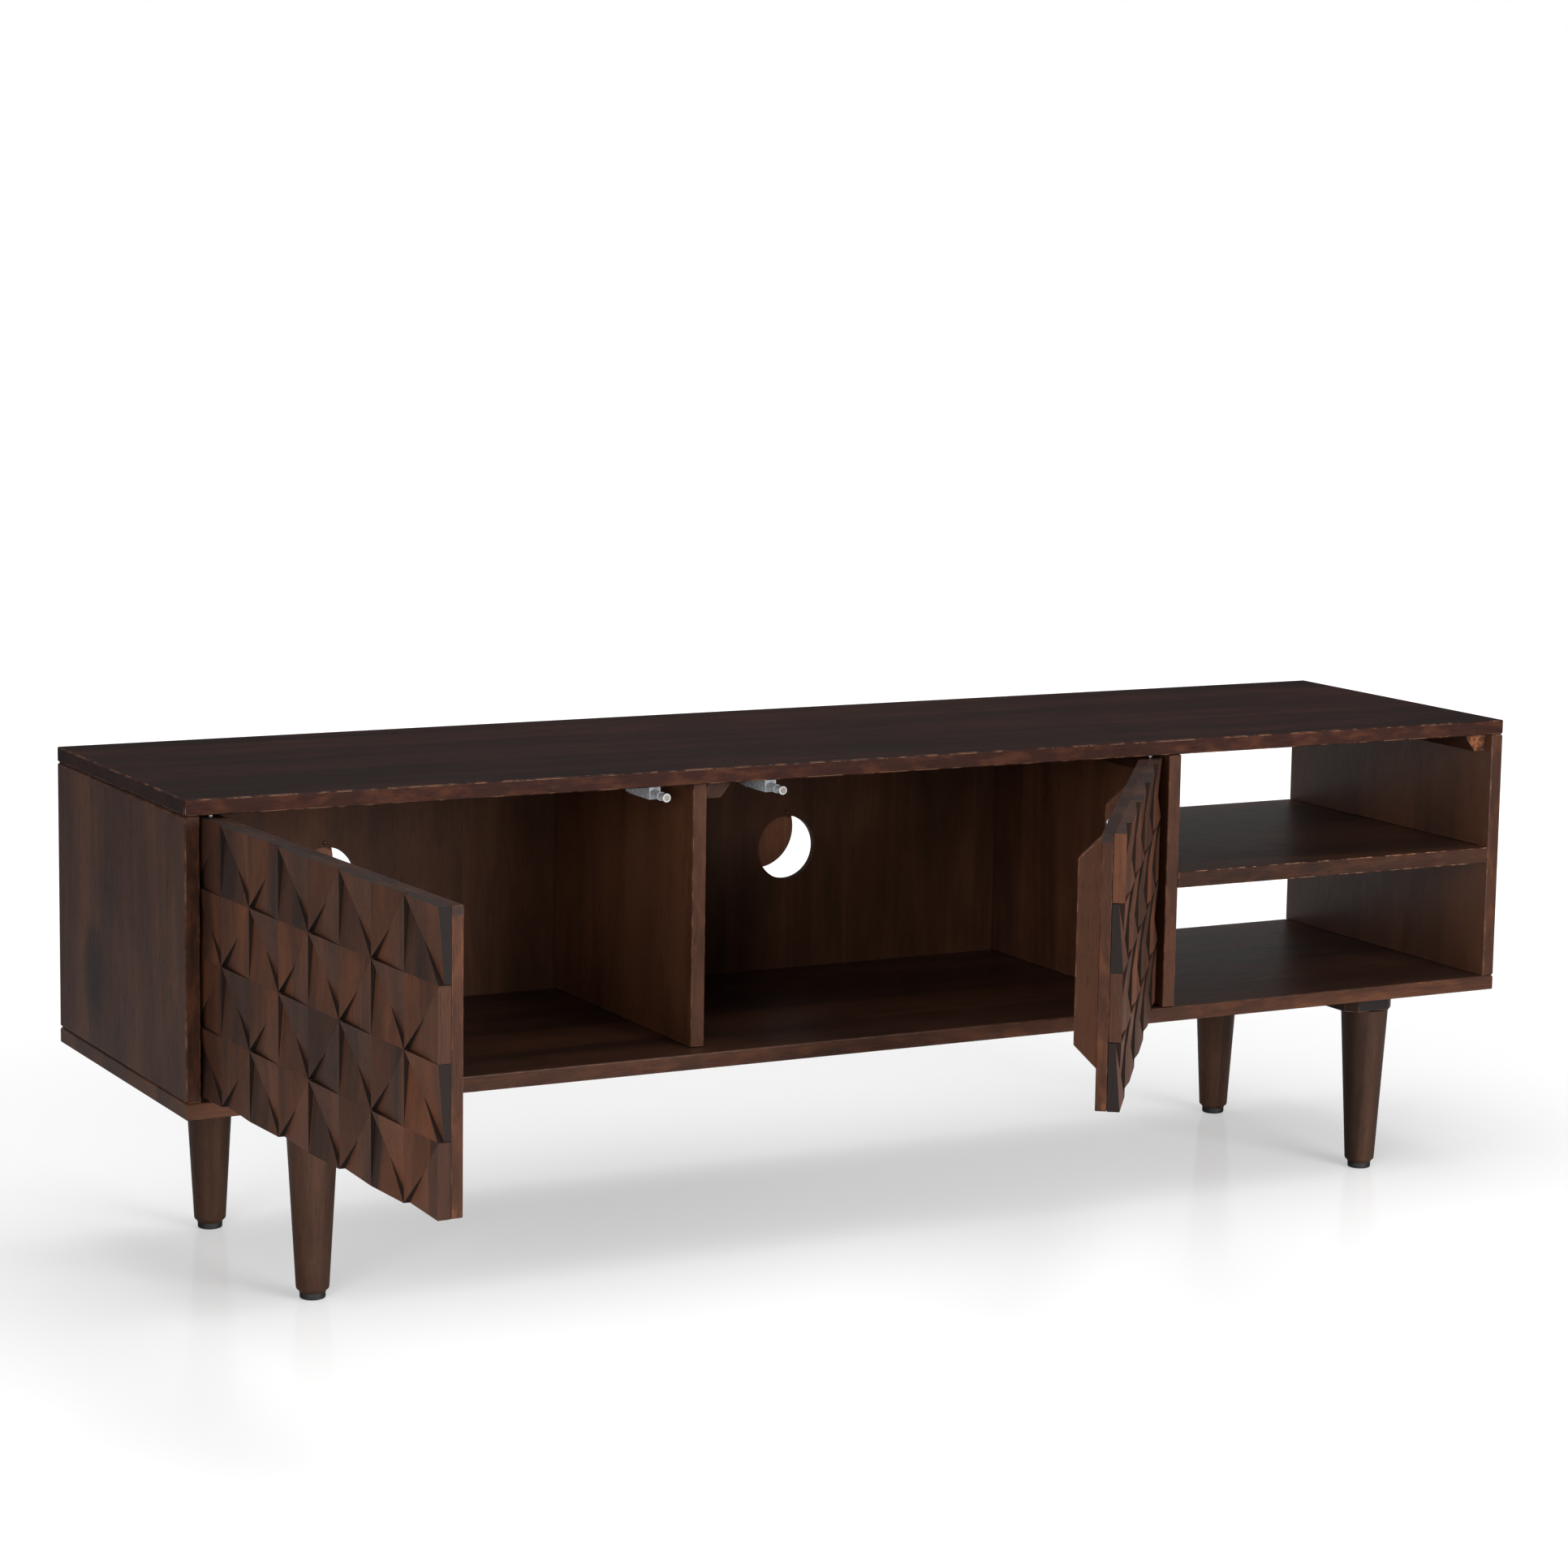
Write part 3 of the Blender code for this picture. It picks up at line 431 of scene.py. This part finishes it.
for name, axes, finish, tint in (
    ("top_panel", lengthwise, top_wood, top_painted_light),
    ("bottom_panel", lengthwise, case_wood, bottom_painted_light),
    ("side_panel_left", upright_side, side_wood, left_painted_shade),
    ("side_panel_right", upright_side, case_wood, right_painted_light),
    ("divider_centre", upright_side, case_wood, centre_painted_light),
    ("divider_right", upright_side, case_wood, 0.05),
    ("open_shelf", lengthwise, case_wood, 0.0),
):
    bm = read_node(name)
    # The top's and the shelf's arrises are painted palest, as a pale line: partly wear, partly a painted
    # highlight along the edge.
    most_worn_and_lit = name in ("top_panel", "open_shelf")
    round_arrises(bm, 0.0009 if most_worn_and_lit else 0.00045, wear_and_highlight_level=3.2 if most_worn_and_lit else 1.0)
    write_grain(bm, name, axes, tint)
    ends = bm.faces.layers.float["end"]
    sheen = bm.faces.layers.float.new("sheen")
    bare = bm.faces.layers.float.new("bare")
    for face in bm.faces:
        # The broad ends are painted lighter than the small ones, as a painted grey sheen.
        face[ends] *= 0.4
        # The floor and the shelf are rubbed up on top, and the right side on its inner face.
        if name in ("open_shelf", "bottom_panel") and faces_up(face):
            face[sheen] = 1.0
        if name == "side_panel_right" and faces_left(face):
            face[sheen] = 1.0
        # The stain took unevenly along the front edges.
        if faces_front(face):
            face[bare] = 0.12 if name == "open_shelf" else 0.17
    stand_in(bm, name, finish, "carcass")

# Back panel and swivel covers: thinner boards in the same stain, upright in grain,
# with hole-sawn cable holes and a plain round cover behind each. The back panel's copy of the stain is warmer
# and painted lighter, as painted light in the shaded cupboards, and the covers' is painted much lighter
# still, as painted light where they stand in shade behind the back panel.
back_wood_painted_light = wood_finish(
    "back_wood_painted_light", (0.028, 0.0118, 0.0066), (0.058, 0.0240, 0.0125), (0.105, 0.044, 0.022),
    stave=0.11, gloss=0.46, pore=0.3, shine=0.10
)
cover_wood_painted_light = wood_finish(
    "cover_wood_painted_light", (0.10, 0.040, 0.022), (0.21, 0.084, 0.046), (0.36, 0.150, 0.085),
    stave=0.11, gloss=0.42, pore=0.3
)
bm = read_node("back_panel")
round_arrises(bm, 0.0005, shortest=0.003, bluntest=60)
write_grain(bm, "back_panel", upright_back)
stand_in(bm, "back_panel", back_wood_painted_light, "carcass")
for bay in ("left", "middle"):
    name = f"cable_cover_{bay}"
    bm = read_node(name)
    round_arrises(bm, 0.0007, shortest=0.003, bluntest=60)
    write_grain(bm, name, upright_back)
    stand_in(bm, name, cover_wood_painted_light, f"cover_{bay}")

# Cleats and leg rails: sawn strips of the same wood, glued and screwed on, the cleats
# less evenly stained than the boards, and with a lighter band painted along the top of each end as painted
# light.
painted_light_band = 0.0042
front_to_back = grain_axes((0, 1, 0), (1, 0, 0))
for name in ("cleat_left", "cleat_centre", "cleat_divider", "cleat_right", "leg_rail_left", "leg_rail_right"):
    bm = read_node(name)
    is_cleat = name.startswith("cleat")
    band_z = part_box(name)[1].z - painted_light_band
    if is_cleat:
        # A paler band is painted along the top of each sawn end, as painted light where the top of the end
        # catches the lamps.
        score_across(bm, band_z)
    round_arrises(bm, 0.0003)
    write_grain(bm, name, front_to_back, tint=-0.09 if is_cleat else -0.2)
    if is_cleat:
        bare = bm.faces.layers.float.new("bare")
        ends = bm.faces.layers.float["end"]
        tones = bm.faces.layers.float["tint"]
        for face in bm.faces:
            if faces_front(face):
                upper = face.calc_center_median().z > band_z
                face[ends] = 0.0
                # The band above the line is painted lighter, as painted light.
                face[tones] += 0.16 if upper else 0.0
                if name == "cleat_right":
                    # This one's front end was left partly bare.
                    face[bare] = 2.4 if upper else 1.4
    stand_in(bm, name, case_wood, "carcass")

# Legs: turned from solid wood, upright in grain, with a small shoulder above the glide.
# A steel hanger bolt in its head holds each one to the rail above.
leg_wood = wood_finish(
    "leg_wood", (0.014, 0.0075, 0.0055), (0.032, 0.0155, 0.010), (0.074, 0.035, 0.021),
    stave=0.021, gloss=0.36
)
for corner in ("front_left", "front_right", "back_left", "back_right"):
    name = f"leg_{corner}"
    bm = read_node(name)
    round_arrises(bm, 0.0004, shortest=0.0015, bluntest=25, wear_and_highlight_level=0.2)
    write_grain(bm, name, upright_back, tint=0.05)
    stand_in(bm, name, leg_wood, "carcass")

# Doors: four carved rows glued to a flat backing board, with two battens on its inner face.
# Each facet is planed on a slant and meets the next over a knife-cut step, which is painted
# darker than the face, partly for the stain it holds and partly as painted shade.
carved_wood = wood_finish(
    "carved_wood", (0.024, 0.0130, 0.0100), (0.064, 0.0245, 0.0130), (0.132, 0.046, 0.020),
    stave=0.05, gloss=0.40
)
door_wood = wood_finish(
    "door_wood", (0.018, 0.0072, 0.0046), (0.046, 0.0175, 0.0098), (0.108, 0.040, 0.019),
    stave=0.06, gloss=0.40
)
cross_strip = 0.0085
joints = {joint["name"]: joint for joint in frame["joints"]}
for bay, dark_rows in (("left", (1, 3)), ("middle", (2, 4))):
    joint = joints[f"{bay}_door_hinge"]
    pin = Vector(joint["pos_m"])
    # The joint's larger limit is the shut door, so the open one is turned back by it.
    opened = -math.radians(max(joint["range_deg"], key=abs))
    turn = Matrix.Rotation(opened, 3, "Z")
    width_axis = turn @ Vector((1, 0, 0))
    depth_axis = turn @ Vector((0, 1, 0))
    upward = Vector((0, 0, 1))
    standing = grain_axes(upward, width_axis)
    body = f"{bay}_door"

    def facet_tone_and_shade(face):
        across = face.calc_center_median().dot(width_axis)
        up = face.calc_center_median().z
        # Top faces are painted darker, as painted shade; the other faces vary in tone from facet to facet.
        if face.normal.z > 0.8:
            return -0.16
        return 0.055 * math.sin(across * 91 + up * 57) + 0.03 * math.sin(across * 41 - up * 133)

    for row in range(1, 5):
        name = f"door_{bay}_strip_{row}"
        bm = read_node(name)
        round_arrises(bm, 0.0003, shortest=0.0045, bluntest=12, wear_and_highlight_level=1.7)
        write_grain(bm, name, standing, facet_tone_and_shade)
        ends = bm.faces.layers.float["end"]
        # The steps between facets are painted darkest, partly for the stain they hold and partly as painted
        # shade.
        stain_and_shade = bm.faces.layers.float.new("stain_and_shade")
        across = [(vert.co - pin).dot(width_axis) for vert in bm.verts]
        edges_at = (min(across), max(across))
        for face in bm.faces:
            at = (face.calc_center_median() - pin).dot(width_axis)
            on_edge = min(abs(at - edge) for edge in edges_at) < 0.001
            if square_to(face, upward):
                face[ends] = 0.2
            elif on_edge:
                is_dark = row in dark_rows
                face[ends] = 1.25 if is_dark else 0.0
                face[stain_and_shade] = 0.5 if is_dark else 0.0
            elif abs(face.normal.dot(depth_axis)) < 0.6:
                face[stain_and_shade] = 1.0
        stand_in(bm, name, carved_wood, body)
    name = f"door_{bay}_board"
    bm = read_node(name)
    # A cross strip closes the board's grain at the top and at the bottom.
    foot_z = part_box(name)[0].z + cross_strip
    head_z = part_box(name)[1].z - cross_strip
    score_across(bm, foot_z)
    score_across(bm, head_z)
    round_arrises(bm, 0.0004, wear_and_highlight_level=1.7)
    # The board's side edges are painted lighter on the middle door, as painted light, and darker on the left
    # door, and its top face darker, as painted shade.
    edge_light_and_shade = 0.10 if bay == "middle" else -0.08

    def board_light_and_shade(face):
        if face.normal.z > 0.8:
            return -0.16
        return edge_light_and_shade if square_to(face, width_axis) else 0.0

    write_grain(bm, name, standing, board_light_and_shade)
    ends = bm.faces.layers.float["end"]
    bare = bm.faces.layers.float.new("bare")
    free_end = max(abs((vert.co - pin).dot(width_axis)) for vert in bm.verts)
    for face in bm.faces:
        # The cross strips show their sawn ends, and the free bottom corner is scuffed.
        middle = face.calc_center_median()
        if square_to(face, width_axis):
            face[ends] = 1.0 if middle.z > head_z or middle.z < foot_z else 0.0
            if abs((middle - pin).dot(width_axis)) > free_end - 0.002:
                scuffed = middle.z < foot_z
                face[bare] = 0.45 if scuffed else 0.22
                face[ends] *= 0.3 if scuffed else 1.0
        elif square_to(face, upward):
            face[ends] = 0.12
    stand_in(bm, name, door_wood, body)
    for end in ("hinge", "free"):
        name = f"door_{bay}_batten_{end}"
        bm = read_node(name)
        round_arrises(bm, 0.0005)
        write_grain(bm, name, standing, tint=0.05)
        stand_in(bm, name, door_wood, body)


# Push latches: clear moulded housings screwed under the top, each with a round plunger that
# has a dull metal tip. Their screws, the door pins, the strike plates and the leg bolts are
# bright zinc-plated steel, and the cover screws are blackened.
def plain_finish(name, colour, rough, scale, depth, metallic=0.0, clear=0.0):
    """A moulded or plated finish, with a fine mottle in its tone, gloss and surface.

    The scale is the mottle's fineness along each axis, and the depth that of its relief.
    """
    made = bpy.data.materials.new(name)
    made.use_nodes = True
    nodes = made.node_tree.nodes
    link = made.node_tree.links.new
    shader = nodes["Principled BSDF"]
    shader.inputs["Metallic"].default_value = metallic
    shader.inputs["Transmission Weight"].default_value = clear
    place = nodes.new("ShaderNodeTexCoord")
    mapping = nodes.new("ShaderNodeMapping")
    mapping.inputs["Scale"].default_value = scale
    texture = nodes.new("ShaderNodeTexNoise")
    texture.inputs["Scale"].default_value = 1.0
    texture.inputs["Detail"].default_value = 3.0
    link(place.outputs["Object"], mapping.inputs["Vector"])
    link(mapping.outputs["Vector"], texture.inputs["Vector"])
    ramp = nodes.new("ShaderNodeValToRGB")
    ramp.color_ramp.elements[0].position = 0.3
    ramp.color_ramp.elements[0].color = (*(value * 0.82 for value in colour), 1)
    ramp.color_ramp.elements[1].position = 0.7
    ramp.color_ramp.elements[1].color = (*colour, 1)
    link(texture.outputs["Fac"], ramp.inputs["Fac"])
    link(ramp.outputs["Color"], shader.inputs["Base Color"])
    gloss = nodes.new("ShaderNodeMapRange")
    gloss.inputs["To Min"].default_value = rough * 0.8
    gloss.inputs["To Max"].default_value = rough * 1.25
    link(texture.outputs["Fac"], gloss.inputs["Value"])
    link(gloss.outputs["Result"], shader.inputs["Roughness"])
    bump = nodes.new("ShaderNodeBump")
    bump.inputs["Strength"].default_value = 0.25
    bump.inputs["Distance"].default_value = depth
    link(texture.outputs["Fac"], bump.inputs["Height"])
    link(bump.outputs["Normal"], shader.inputs["Normal"])
    return made


steel = plain_finish(
    "zinc_steel_plate", (0.55, 0.55, 0.53), rough=0.28, scale=(900, 900, 300), depth=0.00002, metallic=1.0
)
clear = plain_finish(
    "clear_moulding", (0.74, 0.77, 0.80), rough=0.26, scale=(260, 260, 260), depth=0.00003, clear=0.25
)
dull_tip = plain_finish(
    "plunger_tip_metal", (0.26, 0.22, 0.17), rough=0.55, scale=(900, 900, 900), depth=0.00002, metallic=0.6
)
dark_steel = plain_finish(
    "blackened_steel", (0.05, 0.045, 0.04), rough=0.42, scale=(900, 900, 300), depth=0.00002, metallic=1.0
)
black = plain_finish(
    "black_moulding", (0.007, 0.007, 0.007), rough=0.58, scale=(700, 700, 700), depth=0.00003
)
# The small fittings keep their own meshes. The first of these words in a name gives the finish.
fitting_finishes = {
    "cover_screw": dark_steel,
    "plunger_tip": dull_tip,
    "plunger_": clear,
    "leg_bolt": steel,
    "latch_screw": steel,
    "_pin_": steel,
}
for name, node in frame["nodes"].items():
    fitting = [finish for word, finish in fitting_finishes.items() if word in name]
    if fitting:
        node.data.materials.clear()
        node.data.materials.append(fitting[0])
for bay in ("left", "middle"):
    for name, finish, slot, body in (
        (f"latch_body_{bay}", clear, "clear_plastic", "carcass"),
        (f"door_{bay}_striker", steel, "zinc_steel", f"{bay}_door"),
    ):
        bm = read_node(name)
        round_arrises(bm, 0.0003, shortest=0.0012)
        stand_in(bm, name, finish, body)

# Glides: black moulded feet with a fine ribbed rim. Each has a stem, which is pressed into
# the end of its leg.
ribs = 72
rib_depth = 0.0004
stem = 0.0018
for corner in ("front_left", "front_right", "back_left", "back_right"):
    name = f"glide_{corner}"
    low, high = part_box(name)
    leg_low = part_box(f"leg_{corner}")[0]
    centre = (low + high) / 2
    radius = (high.x - low.x) / 2
    bm = bmesh.new()
    profile = (
        (0.0, low.z),
        (radius - 0.0017, low.z),
        (radius - 0.0006, low.z + 0.0005),
        (radius - 0.0001, low.z + 0.0014),
        (radius, low.z + 0.0024),
        (radius, leg_low.z - 0.0010),
        (radius - 0.0004, leg_low.z - 0.0004),
        (radius - 0.0010, leg_low.z - 0.0003),
        (stem, leg_low.z - 0.0003),
        (stem, high.z - 0.001),
        (0.0008, high.z),
        (0.0, high.z),
    )
    points = [bm.verts.new((centre.x + out, centre.y, z)) for out, z in profile]
    line = [bm.edges.new(pair) for pair in zip(points, points[1:])]
    bmesh.ops.spin(
        bm, geom=points + line, cent=(centre.x, centre.y, 0), axis=(0, 0, 1), angle=math.tau,
        steps=ribs * 2, use_merge=True
    )
    bmesh.ops.remove_doubles(bm, verts=bm.verts, dist=1e-6)
    bmesh.ops.recalc_face_normals(bm, faces=bm.faces)
    for vert in bm.verts:
        # Every second line of the rim is pressed in, which leaves the ribs between.
        out = Vector((vert.co.x - centre.x, vert.co.y - centre.y, 0))
        line_number = round(math.atan2(out.y, out.x) / math.pi * ribs)
        if out.length > radius - 0.00005 and line_number % 2:
            vert.co -= out.normalized() * rib_depth
    stand_in(bm, name, black, "carcass")
